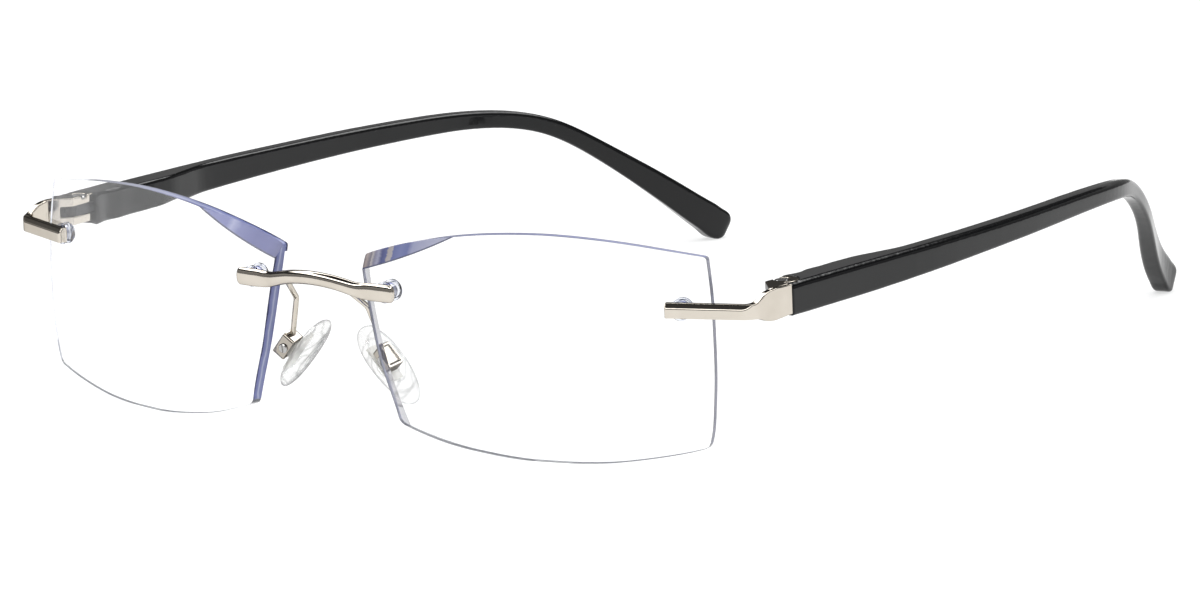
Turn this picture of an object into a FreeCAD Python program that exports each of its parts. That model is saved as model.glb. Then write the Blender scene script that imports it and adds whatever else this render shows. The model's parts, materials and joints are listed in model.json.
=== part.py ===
import FreeCAD, Part
import os
import math
from FreeCAD import Vector, Placement, Rotation

# Rimless eyeglasses: two demo lenses, a bow bridge, two wrapped endpieces and
# two moulded temples with drop tips. Millimetres, +Z up, the front faces -Y,
# +X is the wearer's left. The origin is under the middle of the whole object,
# on the table that the lens bottoms and the two temple tips stand on.

doc = FreeCAD.newDocument("Eyeglasses")

# ---------------------------------------------------------------- dimensions
sheet = doc.addObject("Spreadsheet::Sheet", "dims")
DIMS = [
    ("y_origin", 73.26),        # y of the origin behind the nasal lens corner
    ("lens_R", 144.2),         # front surface radius
    ("lens_back_R", 141.98),   # back surface radius
    ("lens_cx", 4.8), ("lens_cy", 142.39), ("lens_cz", 16.21),
    ("lens_wedge", 3.1),       # sideways shift of the back centre: 2.1 mm thick at the nose, 1 at the temples
    ("lens_hole_r", 1.20),
    ("face_form", 12.3),       # degrees, optical axis from straight ahead
    ("nasal_x", 12.75), ("nasal_z", 23.5),
    ("temporal_x", 59.45), ("temporal_z", 23.6),
    ("post_r", 0.55),
    ("sleeve_r", 1.18), ("sleeve_bore", 0.56), ("flange_r", 1.6),
    ("flange_t", 0.5), ("cap_r", 1.3), ("cap_t", 0.55),
    ("washer_r", 1.6), ("washer_t", 0.3), ("washer_bore", 0.6),
    ("bar_t", 1.4), ("bar_low", 22.6), ("bar_high", 24.8),
    ("bar_bevel", 0.75), ("plate_t", 1.05), ("plate_x", 70.5),
    ("plate_rear", 21.2),
    ("hinge_x", 67.15), ("hinge_y", 23.1),
    ("ear_r", 2.5), ("ear_low_z", 22.25), ("ear_low_t", 1.28),
    ("ear_up_z", 25.13), ("ear_up_t", 1.29), ("ear_nose_x", 66.04),
    ("screw_r", 0.6), ("screw_head_r", 1.15), ("screw_head_t", 0.36),
    ("sink_r", 1.25), ("sink_d", 0.42), ("leaf_r", 2.2),
    ("slot_w", 0.3), ("slot_d", 0.25),
    ("tongue_gap", 0.04), ("pin_gap", 0.05), ("cheek_gap", 0.07),
    ("core_r", 0.6), ("core_len", 34.0),
    ("lug_t", 1.2), ("lug_low", 22.4), ("lug_high", 24.6),
    ("lug_in", 8.9), ("lug_out", 14.95),
    ("arm_r", 0.42), ("arm_bend", 1.3),
    ("box_len", 3.9), ("box_w", 3.0), ("box_d", 2.1), ("box_wall", 0.4),
    ("box_round", 0.45), ("tab_len", 2.4), ("tab_w", 1.5), ("tab_t", 1.9),
    ("pscrew_r", 0.35), ("pscrew_head_r", 0.72), ("pscrew_head_t", 0.3),
    ("pad_long", 14.2), ("pad_wide", 6.6), ("pad_thick", 2.6),
    ("temple_corner", 0.85), ("seat_gap", 0.1),
]
D = {}
for i, (alias, value) in enumerate(DIMS):
    cell = "B%d" % (i + 1)
    sheet.set("A%d" % (i + 1), alias)
    sheet.set(cell, str(value))
    sheet.setAlias(cell, alias)
doc.recompute()
for alias, _ in DIMS:
    D[alias] = float(sheet.get(alias))
Y0 = D["y_origin"]


def V(x, y, z):
    return Vector(x, y - Y0, z)


def bind(obj, **props):
    for prop, alias in props.items():
        obj.setExpression(prop, alias if "." in alias or "*" in alias else "dims." + alias)


def E(text):
    """A formula over the sheet's names, and its value."""
    names = sorted(D, key=len, reverse=True)
    out, i = "", 0
    while i < len(text):
        hit = None
        for n in names:
            if text.startswith(n, i) and (i == 0 or not (text[i - 1].isalnum() or text[i - 1] == "_")):
                j = i + len(n)
                if j == len(text) or not (text[j].isalnum() or text[j] == "_"):
                    hit = n
                    break
        if hit:
            out += "dims." + hit
            i += len(hit)
        else:
            out += text[i]
            i += 1
    return out


def value(text):
    """Adds and subtracts terms that are products of sheet names and numbers."""
    total, term, sign, token = 0.0, 1.0, 1.0, ""

    def number(tk):
        tk = tk.strip()
        return D[tk] if tk in D else float(tk)

    parts, cur = [], ""
    s = text.replace(" ", "")
    k = 0
    for ch in s:
        if ch in "+-" and cur and cur[-1] not in "*/":
            parts.append(cur)
            cur = ch
        else:
            cur += ch
    parts.append(cur)
    for p in parts:
        sg = 1.0
        while p and p[0] in "+-":
            if p[0] == "-":
                sg = -sg
            p = p[1:]
        v = 1.0
        for f in p.split("*"):
            if "/" in f:
                a, b = f.split("/")
                v *= number(a) / number(b)
            else:
                v *= number(f)
        total += sg * v
    return total


def plane_of(body, role):
    for o in body.Origin.OriginFeatures:
        if o.Role == role:
            return o
    raise RuntimeError(role)


def polygon(body, name, role, pts):
    """A closed sketch of straight lines, each corner held by two bound distances."""
    sk = body.newObject("Sketcher::SketchObject", name)
    sk.AttachmentSupport = [(plane_of(body, role), "")]
    sk.MapMode = "FlatFace"
    xy = [(value(a), value(b)) for a, b in pts]
    n = len(xy)
    for i in range(n):
        a, b = xy[i], xy[(i + 1) % n]
        sk.addGeometry(Part.LineSegment(Vector(a[0], a[1], 0), Vector(b[0], b[1], 0)), False)
    import Sketcher
    for i in range(n):
        sk.addConstraint(Sketcher.Constraint("Coincident", i, 2, (i + 1) % n, 1))
    for i, (a, b) in enumerate(pts):
        for kind, text, axis in (("DistanceX", a, -2), ("DistanceY", b, -1)):
            v = value(text)
            if abs(v) < 1e-9:
                sk.addConstraint(Sketcher.Constraint("PointOnObject", i, 1, axis))
            else:
                c = sk.addConstraint(Sketcher.Constraint(kind, -1, 1, i, 1, v))
                if any(ch.isalpha() for ch in text):
                    sk.setExpression("Constraints[%d]" % c, E(text))
    return sk


def revolved(label, pts, place):
    """A turned piece: pts are (radius, height) along its own +Z axis."""
    body = doc.addObject("PartDesign::Body", label)
    sk = polygon(body, label + "_profile", "XZ_Plane", pts)
    rev = body.newObject("PartDesign::Revolution", label + "_turn")
    rev.Profile = sk
    rev.ReferenceAxis = (sk, ["V_Axis"])
    rev.Angle = 360.0
    body.Tip = rev
    body.Placement = place
    return body


def frame_of(origin, zdir, xdir):
    z = Vector(zdir).normalize()
    x = Vector(xdir)
    x = (x - z * x.dot(z)).normalize()
    y = z.cross(x)
    m = FreeCAD.Matrix(x.x, y.x, z.x, origin.x, x.y, y.y, z.y, origin.y,
                       x.z, y.z, z.z, origin.z, 0, 0, 0, 1)
    return Placement(m)


def cylinder(name, origin, axis, r, length, r_alias=None, l_alias=None):
    o = doc.addObject("Part::Cylinder", name)
    o.Radius = r
    o.Height = length
    if r_alias:
        o.setExpression("Radius", E(r_alias))
    if l_alias:
        o.setExpression("Height", E(l_alias))
    o.Placement = frame_of(origin, axis, Vector(0.3, 0.2, 0.93) if abs(Vector(axis).normalize().z) < 0.9 else Vector(1, 0, 0))
    return o


def feature(name, shape):
    o = doc.addObject("Part::Feature", name)
    o.Shape = shape
    return o


def cut(name, base, tools):
    cur = base
    for i, t in enumerate(tools):
        c = doc.addObject("Part::Cut", name if i == len(tools) - 1 else "%s_c%d" % (name, i))
        c.Base = cur
        c.Tool = t
        c.Refine = True
        cur = c
    return cur


def fuse(name, objs):
    f = doc.addObject("Part::MultiFuse", name)
    f.Shapes = objs
    f.Refine = True
    return f


def common(name, a, b):
    c = doc.addObject("Part::Common", name)
    c.Base = a
    c.Tool = b
    return c


def extrude(name, base, direction, length, back=0.0, alias=None):
    e = doc.addObject("Part::Extrusion", name)
    e.Base = base
    e.DirMode = "Custom"
    e.Dir = direction
    e.LengthFwd = length
    e.LengthRev = back
    e.Solid = True
    if alias:
        e.setExpression("LengthFwd", E(alias))
    return e


def mirrored(name, source):
    m = doc.addObject("Part::Mirroring", name)
    m.Source = source
    m.Normal = Vector(1, 0, 0)
    m.Base = Vector(0, 0, 0)
    return m


NODES = {}


def node(label, obj):
    obj.Label = label
    NODES[label] = obj
    return obj


def face_from(points_list):
    """A planar face from runs of points: each run is a line or a smooth curve."""
    edges = []
    for run in points_list:
        if len(run) == 2:
            edges.append(Part.LineSegment(run[0], run[1]).toShape())
        else:
            c = Part.BSplineCurve()
            c.interpolate(run)
            edges.append(c.toShape())
    return Part.Face(Part.Wire(edges))


# ---------------------------------------------------------------- lenses
# Front outline of the left lens, seen along its optical axis, as four smooth
# runs: top, temporal, bottom and nasal, joined by small rounded corners.
phi = math.radians(D["face_form"])
opt = Vector(math.sin(phi), -math.cos(phi), 0)      # towards the front
lat = Vector(math.cos(phi), math.sin(phi), 0)       # towards the temple


def on_front(x, z, off=0.0):
    """The point of the front surface at x, z, moved off along the normal."""
    cx, cy, cz, R = D["lens_cx"], D["lens_cy"], D["lens_cz"], D["lens_R"]
    y = cy - math.sqrt(R * R - (x - cx) ** 2 - (z - cz) ** 2)
    n = Vector(x - cx, y - cy, z - cz).normalize()
    p = Vector(x, y, z) + n * off
    return V(p.x, p.y, p.z), n


def normal_xy(x, z):
    """The level part of the front normal, for a hole drilled level."""
    n = on_front(x, z)[1]
    return Vector(n.x, n.y, 0).normalize()


TOP = [(8.55, 28.62), (11.6, 29.62), (16.0, 30.78), (21.5, 31.98), (27.0, 32.83),
       (33.0, 33.36), (39.0, 33.56), (45.0, 33.36), (51.0, 32.86), (57.0, 32.08), (62.2, 31.33)]
SIDE = [(62.82, 30.7), (63.2, 28.2), (63.58, 25.0), (63.82, 20.5), (63.9, 16.5),
        (63.8, 12.5), (63.5, 8.8), (62.95, 4.9), (62.72, 4.05)]
BOTTOM = [(61.6, 2.86), (58.3, 2.03), (54.0, 1.19), (48.5, 0.38), (43.5, 0.045), (39.0, -0.035),
          (34.0, 0.095), (28.5, 0.63), (23.0, 1.47), (18.6, 2.58), (15.3, 3.66)]
NASAL = [(14.05, 4.75), (13.45, 6.9), (12.4, 10.0), (11.35, 13.1), (10.5, 16.6),
         (9.75, 20.1), (9.1, 23.2), (8.5, 26.0), (8.2, 28.1)]


def to_plane(x, z):
    p, _ = on_front(x, z)
    s = p.dot(lat)
    return lat * s + opt * (Y0 + 18.0) + Vector(0, 0, z)


def bez(a, c, b):
    """A short corner curve from a to b that leans to c."""
    cur = Part.BezierCurve()
    cur.setPoles([a, a + (c - a) * 0.62, b + (c - b) * 0.62, b])
    return cur.toShape()


def outline_face():
    runs = [[to_plane(x, z) for x, z in r] for r in (TOP, SIDE, BOTTOM, NASAL)]
    corners = [to_plane(62.78, 31.24), to_plane(62.45, 3.02), to_plane(14.3, 3.95), to_plane(8.16, 28.5)]
    edges = []
    for i, r in enumerate(runs):
        c = Part.BSplineCurve()
        c.interpolate(r)
        edges.append(c.toShape())
        nxt = runs[(i + 1) % 4]
        edges.append(bez(r[-1], corners[i], nxt[0]))
    return Part.Face(Part.Wire(edges))


outline = feature("lens_outline", outline_face())
blank = extrude("lens_blank", outline, opt * -1, 36.0)
ball_f = doc.addObject("Part::Sphere", "lens_front_ball")
ball_b = doc.addObject("Part::Sphere", "lens_back_ball")
bind(ball_f, Radius="lens_R")
bind(ball_b, Radius="lens_back_R")
turn = Rotation(Vector(0, 0, 1), 90)
ball_f.Placement = Placement(V(D["lens_cx"], D["lens_cy"], D["lens_cz"]), turn)
ball_b.Placement = Placement(V(D["lens_cx"] + D["lens_wedge"], D["lens_cy"], D["lens_cz"]), turn)
curved = common("lens_curved", blank, ball_f)
lens0 = cut("lens_shell", curved, [ball_b])

# The diamond-cut facet at the top nasal corner: a flat plane that leaves the
# front face along a line and runs out on the top edge.
fa, _ = on_front(9.25, 26.7)
fb, _ = on_front(24.6, 32.55)
fc = on_front(8.3, 28.7)[0] - opt * 1.55
fn = (fb - fa).cross(fc - fa).normalize()
if fn.dot(opt) < 0:
    fn = fn * -1
along = (fb - fa).normalize()
facet = doc.addObject("Part::Box", "facet_cutter")
facet.Length = 60
facet.Width = 40
facet.Height = 20
pl = frame_of(fa, fn, along)
facet.Placement = pl.multiply(Placement(Vector(-25, -20, 0), Rotation()))


# A small facet on the nasal lower corner, on the back of the lens.
na, _ = on_front(15.6, 3.2, -2.2)
nb, _ = on_front(12.6, 11.0, -2.2)
nc = on_front(13.2, 4.0)[0] - opt * 0.9
nn = (nb - na).cross(nc - na).normalize()
if nn.dot(opt) > 0:
    nn = nn * -1
nfacet = doc.addObject("Part::Box", "lower_facet_cutter")
nfacet.Length = 40
nfacet.Width = 30
nfacet.Height = 10
nfacet.Placement = frame_of(na, nn, (nb - na).normalize()).multiply(Placement(Vector(-15, -15, 0), Rotation()))


def hole_axis(x, z):
    p, _ = on_front(x, z)
    return p, normal_xy(x, z)


pn, an = hole_axis(D["nasal_x"], D["nasal_z"])
pt, at = hole_axis(D["temporal_x"], D["temporal_z"])
hole_n = cylinder("lens_hole_nasal", pn + an * 5, an * -1, D["lens_hole_r"], 12, "lens_hole_r")
hole_t = cylinder("lens_hole_temporal", pt + at * 5, at * -1, D["lens_hole_r"], 12, "lens_hole_r")
# What would dip under the table is left off, which gives each lens and each
# temple tip a small flat to stand on.
table = doc.addObject("Part::Box", "table_cutter")
table.Length = 200
table.Width = 200
table.Height = 5
table.Placement = Placement(Vector(-100, -100, -5), Rotation())
left_lens = cut("left_lens", lens0, [facet, nfacet, hole_n, hole_t, table])
node("left_lens", left_lens)
node("right_lens", mirrored("right_lens", left_lens))

# ------------------------------------------------- clear sleeves and washers


def back_depth(x, z, axis):
    """Lens thickness along a level hole, from the front point."""
    p, _ = on_front(x, z)
    c = V(D["lens_cx"] + D["lens_wedge"], D["lens_cy"], D["lens_cz"])
    R = D["lens_back_R"]
    oc = p - c
    d = axis * -1
    b = oc.dot(d)
    q = b * b - (oc.dot(oc) - R * R)
    return -b - math.sqrt(q)


for tag, x, z, p, a in (("nasal", D["nasal_x"], D["nasal_z"], pn, an),
                        ("temporal", D["temporal_x"], D["temporal_z"], pt, at)):
    depth = back_depth(x, z, a) + D["seat_gap"]
    start = p - a * depth                        # the back face of the lens
    place = frame_of(start, a * -1, Vector(0, 0, 1))
    neck = "%.4f" % (-(depth - 0.02))
    prof = [("sleeve_bore", neck), ("sleeve_r", neck), ("sleeve_r", "0"), ("flange_r", "0"),
            ("flange_r", "flange_t"), ("cap_r", "flange_t"), ("cap_r", "flange_t+cap_t-0.2"),
            ("cap_r-0.2", "flange_t+cap_t"), ("0", "flange_t+cap_t"), ("0", "flange_t"),
            ("sleeve_bore", "flange_t")]
    sl = revolved("left_%s_sleeve" % tag, prof, place)
    node("left_%s_sleeve" % tag, sl)
    node("right_%s_sleeve" % tag, mirrored("right_%s_sleeve" % tag, sl))
    place = frame_of(p + a * D["seat_gap"], a, Vector(0, 0, 1))
    wa = revolved("left_%s_washer" % tag,
                  [("washer_bore", "0"), ("washer_r", "0"), ("washer_r", "washer_t"),
                   ("washer_bore", "washer_t")], place)
    node("left_%s_washer" % tag, wa)
    node("right_%s_washer" % tag, mirrored("right_%s_washer" % tag, wa))

SEAT = D["seat_gap"] + D["washer_t"]                      # metal sits this far off the lens
POST_END = {}


def post(name, p, a, x, z):
    length = SEAT + back_depth(x, z, a) + D["seat_gap"] + D["flange_t"] - 0.02
    return cylinder(name, p + a * (SEAT + 0.3), a * -1, D["post_r"], length + 0.3, "post_r")


# ---------------------------------------------------------------- endpieces
bt = D["bar_t"]
along_t = Vector(-at.y, at.x, 0)                 # along the lens, towards the temple
if along_t.x < 0:
    along_t = along_t * -1
b0 = pt + at * SEAT                              # on the bar's back face, at the post
out0 = b0 + at * bt
px = D["plate_x"]
# the outer line of the bar meets the plate's outer plane here
k = (px - out0.x) / along_t.x
corner_o = out0 + along_t * k
pin = px - D["plate_t"]
k = (pin - b0.x) / along_t.x
corner_i = b0 + along_t * k
end_o = out0 - along_t * 2.1
end_i = b0 - along_t * 2.1
rear = D["plate_rear"] - Y0


def flat(p, z=0.0):
    return Vector(p.x, p.y, z)


def arc_corner(a, c, b, r):
    """Points where a round of radius r leaves the two lines, and its middle."""
    u = (a - c).normalize()
    w = (b - c).normalize()
    half = math.acos(max(-1, min(1, u.dot(w)))) / 2
    t = r / math.tan(half)
    p1 = c + u * t
    p2 = c + w * t
    bis = (u + w).normalize()
    mid = c + bis * (r / math.sin(half) - r)
    return p1, mid, p2


o1, om, o2 = arc_corner(flat(end_o), flat(corner_o), Vector(px, rear, 0), 2.6)
i1, im, i2 = arc_corner(flat(end_i), flat(corner_i), Vector(pin, rear, 0), 1.5)
zl, zh = 20.0, 28.0


def up(p, z):
    return Vector(p.x, p.y, z)


n1, nm_, n2 = arc_corner(flat(out0), flat(end_o), flat(end_i), 0.35)
band_edges = [
    Part.LineSegment(up(n1, zl), up(o1, zl)).toShape(),
    Part.Arc(up(o1, zl), up(om, zl), up(o2, zl)).toShape(),
    Part.LineSegment(up(o2, zl), Vector(px, rear, zl)).toShape(),
    Part.LineSegment(Vector(px, rear, zl), Vector(pin, rear, zl)).toShape(),
    Part.LineSegment(Vector(pin, rear, zl), up(i2, zl)).toShape(),
    Part.Arc(up(i2, zl), up(im, zl), up(i1, zl)).toShape(),
    Part.LineSegment(up(i1, zl), up(flat(end_i), zl)).toShape(),
    Part.LineSegment(up(flat(end_i), zl), up(n2, zl)).toShape(),
    Part.Arc(up(n2, zl), up(nm_, zl), up(n1, zl)).toShape(),
]
band_face = feature("endpiece_plan", Part.Face(Part.Wire(band_edges)))
band = extrude("endpiece_band", band_face, Vector(0, 0, 1), zh - zl)


def side(pts):
    return [V(50.0, y, z) for y, z in pts]


lo, hi = D["bar_low"], D["bar_high"]
up_run = side([(12.2, hi), (13.0, hi + 0.12), (14.0, hi + 0.55), (15.0, hi + 1.1), (16.2, hi + 1.42),
               (18.5, hi + 1.52), (21.6, hi + 1.58)])
lo_run = side([(21.6, lo - 0.72), (19.0, lo - 0.82), (16.6, lo - 0.9), (15.0, lo - 0.62), (13.9, lo - 0.22),
               (13.0, lo - 0.04), (12.2, lo)])
side_face = feature("endpiece_side", face_from([
    side([(3.0, hi), (12.2, hi)]), up_run, side([(21.6, hi + 1.58), (21.6, lo - 0.72)]), lo_run,
    side([(12.2, lo), (3.0, lo)]), side([(3.0, lo), (3.0, hi)])]))
side_block = extrude("endpiece_side_block", side_face, Vector(1, 0, 0), 40.0)
shell = common("endpiece_shell", band, side_block)

# The bevel along the bar's upper front edge.
bev = doc.addObject("Part::Box", "bar_bevel_cutter")
bev.Length = 40
bev.Width = 6
bev.Height = 6
edge_pt = Vector(out0.x, out0.y, hi) - at * (D["bar_bevel"] * 0.8) - along_t * 6
bx = Vector(along_t)
bn = (at * 0.78 + Vector(0, 0, 1) * 0.62).normalize()
bev.Placement = frame_of(edge_pt, bn, bx).multiply(Placement(Vector(0, -3, 0), Rotation()))
shell2 = cut("endpiece_bevelled", shell, [bev])

hx, hy = D["hinge_x"], D["hinge_y"]


def prism(name, pts, z0, h_alias, hval):
    f = feature(name + "_plan", Part.Face(Part.makePolygon([V(x, y, z0) for x, y in pts] + [V(pts[0][0], pts[0][1], z0)])))
    return extrude(name, f, Vector(0, 0, 1), hval, alias=h_alias)


# Two ears reach in from the plate, over and under the temple's leaf: a slanting
# front wall, a flat nose side and a round rear end about the screw.
nx = D["ear_nose_x"]
slant = [(px - 0.6, 16.55), (nx, 20.55)]


def on_slant(x):
    (xa, ya), (xb, yb) = slant
    return ya + (x - xa) * (yb - ya) / (xb - xa)


neck_pts = [slant[0], slant[1], (nx, hy), (hx + 1.75, hy - 1.8), (px - 0.6, D["plate_rear"] - 0.1)]
ears = []
for tag, zk, tk in (("low", "ear_low_z", "ear_low_t"), ("up", "ear_up_z", "ear_up_t")):
    disc = cylinder("ear_%s_disc" % tag, V(hx, hy, D[zk]), Vector(0, 0, 1), D["ear_r"], D[tk], "ear_r", tk)
    trim = doc.addObject("Part::Box", "ear_%s_trim" % tag)
    trim.Length = 6.0
    trim.Width = 10.0
    trim.Height = 4.0
    trim.Placement = Placement(V(nx - 6.0, hy - 5.0, D[zk] - 1.0), Rotation())
    eye = cut("ear_%s_eye" % tag, disc, [trim])
    neck = prism("ear_%s_neck" % tag, neck_pts, D[zk], tk, D[tk])
    ears += [eye, neck]
web_x = nx + 1.5
web = prism("ear_web", [slant[0], (web_x, on_slant(web_x)), (web_x + 0.5, on_slant(web_x) + 0.3), (px - 0.6, on_slant(web_x) + 0.3)],
            D["ear_low_z"], "ear_up_z + ear_up_t - ear_low_z", D["ear_up_z"] + D["ear_up_t"] - D["ear_low_z"])
post_t = post("endpiece_post", pt, at, D["temporal_x"], D["temporal_z"])
raw = fuse("endpiece_raw", [shell2] + ears + [web, post_t])
screw_hole = cylinder("ear_screw_hole", V(hx, hy, 19), Vector(0, 0, 1), D["screw_r"], 10, "screw_r")
ear_top = D["ear_up_z"] + D["ear_up_t"]
sink = cylinder("ear_screw_sink", V(hx, hy, ear_top - D["sink_d"]), Vector(0, 0, 1), D["sink_r"], 3, "sink_r")
left_endpiece = cut("left_endpiece", raw, [screw_hole, sink])
node("left_endpiece", left_endpiece)
node("right_endpiece", mirrored("right_endpiece", left_endpiece))

# ---------------------------------------------------------------- hinge screws
shank = ear_top - D["sink_d"] - D["ear_low_z"]
head_top = ear_top - D["sink_d"] + D["screw_head_t"]
sc = revolved("left_hinge_screw_blank",
              [("0", "0"), ("screw_r", "0"), ("screw_r", "%.4f" % shank), ("screw_head_r", "%.4f" % shank),
               ("screw_head_r", "%.4f+screw_head_t-0.15" % shank),
               ("screw_head_r-0.15", "%.4f+screw_head_t" % shank), ("0", "%.4f+screw_head_t" % shank)],
              Placement(V(hx, hy, D["ear_low_z"]), Rotation()))
slot = doc.addObject("Part::Box", "hinge_screw_slot")
slot.Length = 4
slot.Width = D["slot_w"]
slot.Height = 1
bind(slot, Width="slot_w")
slot.Placement = Placement(V(hx, hy, head_top - D["slot_d"]), Rotation(Vector(0, 0, 1), 28)).multiply(
    Placement(Vector(-2, -D["slot_w"] / 2, 0), Rotation()))
left_screw = cut("left_hinge_screw", sc, [slot])
node("left_hinge_screw", left_screw)
node("right_hinge_screw", mirrored("right_hinge_screw", left_screw))

# ---------------------------------------------------------------- temples
# The centre line of the outer slab, with its height and thickness.
LINE = [
    (68.95, 21.35, 23.95), (68.95, 30.0, 24.0), (68.9, 40.1, 24.05), (68.8, 55.58, 24.24), (68.01, 70.56, 24.4),
    (66.64, 85.12, 24.5), (64.57, 98.86, 24.44), (61.82, 111.42, 23.88), (57.5, 121.74, 21.68),
    (53.33, 130.51, 16.51), (48.26, 138.92, 9.79), (43.88, 149.86, 1.0)]
HIGH = [4.9, 4.85, 4.75, 4.3, 3.78, 3.4, 3.05, 2.75, 2.75, 3.0, 4.0, 5.3]
WIDE = [3.1, 3.1, 3.1, 3.1, 3.1, 3.05, 3.0, 2.85, 2.4, 2.35, 2.7, 2.9]


def spline_through(points):
    c = Part.BSplineCurve()
    c.interpolate(points)
    return c


path = spline_through([V(*p) for p in LINE])
params = [path.parameter(V(*p)) for p in LINE]


def interp(u, table):
    for i in range(len(params) - 1):
        if u <= params[i + 1] or i == len(params) - 2:
            t = (u - params[i]) / (params[i + 1] - params[i])
            t = max(0.0, min(1.0, t))
            m0 = (table[i + 1] - table[i - 1]) / 2 if i > 0 else table[1] - table[0]
            m1 = (table[i + 2] - table[i]) / 2 if i < len(table) - 2 else table[i + 1] - table[i]
            t2, t3 = t * t, t * t * t
            return ((2 * t3 - 3 * t2 + 1) * table[i] + (t3 - 2 * t2 + t) * m0
                    + (-2 * t3 + 3 * t2) * table[i + 1] + (t3 - t2) * m1)
    return table[-1]


def section(u, inner=0.0, thin=0.0, top_in=0.0, low_in=0.0):
    """A rounded slab across the path; inner adds thickness on the nose side."""
    c = path.value(u)
    t = path.tangent(u)[0] if isinstance(path.tangent(u), tuple) else path.tangent(u)
    t = Vector(t).normalize()
    side_v = Vector(t.y, -t.x, 0).normalize()        # outward
    up_v = side_v.cross(t).normalize()
    w, h = interp(u, WIDE) - 2.0 * thin, interp(u, HIGH)
    a = -w / 2 - inner
    b = w / 2
    lo_, hi_ = -h / 2 + low_in, h / 2 - top_in
    h = hi_ - lo_
    rt = min(D["temple_corner"] * 1.15, 0.36 * h, 0.40 * w)
    rb = min(D["temple_corner"] * 0.5, 0.2 * h, 0.25 * w)
    ri = min(D["temple_corner"] * 0.62, 0.25 * h, 0.3 * w)

    def P(x, z):
        return c + side_v * x + up_v * z

    s = math.sqrt(0.5)
    pts = [
        (P(b, lo_ + rb), P(b, hi_ - rt), None),
        (P(b, hi_ - rt), P(b - rt, hi_), P(b - rt + rt * s, hi_ - rt + rt * s)),
        (P(b - rt, hi_), P(a + ri, hi_), None),
        (P(a + ri, hi_), P(a, hi_ - ri), P(a + ri - ri * s, hi_ - ri + ri * s)),
        (P(a, hi_ - ri), P(a, lo_ + ri), None),
        (P(a, lo_ + ri), P(a + ri, lo_), P(a + ri - ri * s, lo_ + ri - ri * s)),
        (P(a + ri, lo_), P(b - rb, lo_), None),
        (P(b - rb, lo_), P(b, lo_ + rb), P(b - rb + rb * s, lo_ + rb - rb * s)),
    ]
    edges = []
    for p, q, m in pts:
        edges.append(Part.LineSegment(p, q).toShape() if m is None else Part.Arc(p, m, q).toShape())
    return Part.Wire(edges)


def y_param(y):
    lo_u, hi_u = params[0], params[-1]
    for _ in range(60):
        mid = (lo_u + hi_u) / 2
        if path.value(mid).y + Y0 < y:
            lo_u = mid
        else:
            hi_u = mid
    return (lo_u + hi_u) / 2


def ease(t):
    t = max(0.0, min(1.0, t))
    return t * t * (3 - 2 * t)


BLOCK = 1.85                                     # extra thickness of the hinge block
stations = [21.35, 24.0, 27.0, 30.0, 33.0, 36.0, 38.5, 41.0, 43.5, 46.0, 48.5, 51.0, 53.5, 56.5, 60.0, 64.5,
            69.5, 75.0, 80.5, 86.0, 91.0, 96.0, 100.5, 105.0, 109.0, 112.5, 116.0, 119.5, 123.0, 126.5, 130.0,
            133.5, 137.0, 140.0, 143.0]
wires = []
for y in stations:
    inner = BLOCK * (1 - ease((y - 39.5) / 13.0))
    u = params[0] if y == 21.35 else y_param(y)
    wires.append(section(u, inner))
u_end = params[-1]


def before_end(e):
    """The parameter at a length e before the end of the path."""
    lo_u, hi_u = params[0], u_end
    for _ in range(50):
        mid = (lo_u + hi_u) / 2
        if path.length(mid, u_end) > e:
            lo_u = mid
        else:
            hi_u = mid
    return (lo_u + hi_u) / 2


# The tip closes with a big round under it and small ones on top and sides.


def round_in(e, reach, depth):
    """How far a side has closed in, at a length e before the end."""
    if e >= reach:
        return 0.0
    k = 1 - e / reach
    return depth * (1 - math.sqrt(1 - k * k))


for e in (3.1, 2.6, 2.1, 1.65, 1.25, 0.88, 0.55, 0.28, 0.1, 0.0):
    wires.append(section(before_end(e) if e > 1e-6 else u_end, 0.0, round_in(e, 1.6, 1.1),
                         round_in(e, 2.2, 1.8), round_in(e, 3.1, 2.4)))
slab = feature("temple_slab", Part.makeLoft(wires, True, False))

# Room for the ears: a round pocket about the hinge axis, open to the front and
# the nose side, which leaves an outer skin beside the ears.
gap = D["cheek_gap"]
tg = D["tongue_gap"]
round_room = doc.addObject("Part::Cylinder", "room_round")
round_room.Radius = D["ear_r"] + gap
round_room.Height = 20
round_room.setExpression("Radius", "dims.ear_r + dims.cheek_gap")
round_room.Placement = Placement(V(hx, hy, 15.0), Rotation())
front_room = doc.addObject("Part::Box", "room_front")
front_room.Length = 9.0
front_room.Width = 6.0
front_room.Height = 20.0
front_room.Placement = Placement(V(hx + 1.9 - 9.0, hy - 6.0, 15.0), Rotation())

# The hinge leaf, blackened steel: an eye between the ears, a tang let into the
# block and a core wire that stiffens the moulded temple.
leaf_z0 = D["ear_low_z"] + D["ear_low_t"] + tg
leaf_z1 = D["ear_up_z"] - tg
leaf_disc = doc.addObject("Part::Cylinder", "leaf_disc")
leaf_disc.Radius = D["leaf_r"]
leaf_disc.Height = leaf_z1 - leaf_z0
bind(leaf_disc, Radius="leaf_r")
leaf_disc.setExpression("Height", "dims.ear_up_z - dims.ear_low_z - dims.ear_low_t - 2 * dims.tongue_gap")
leaf_disc.Placement = Placement(V(hx, hy, leaf_z0), Rotation())
leaf_trim = doc.addObject("Part::Box", "leaf_trim")
leaf_trim.Length = 6.0
leaf_trim.Width = 10.0
leaf_trim.Height = 6.0
leaf_trim.Placement = Placement(V(nx + 0.06 - 6.0, hy - 5.0, leaf_z0 - 2.0), Rotation())
leaf_eye = cut("leaf_eye", leaf_disc, [leaf_trim])
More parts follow.
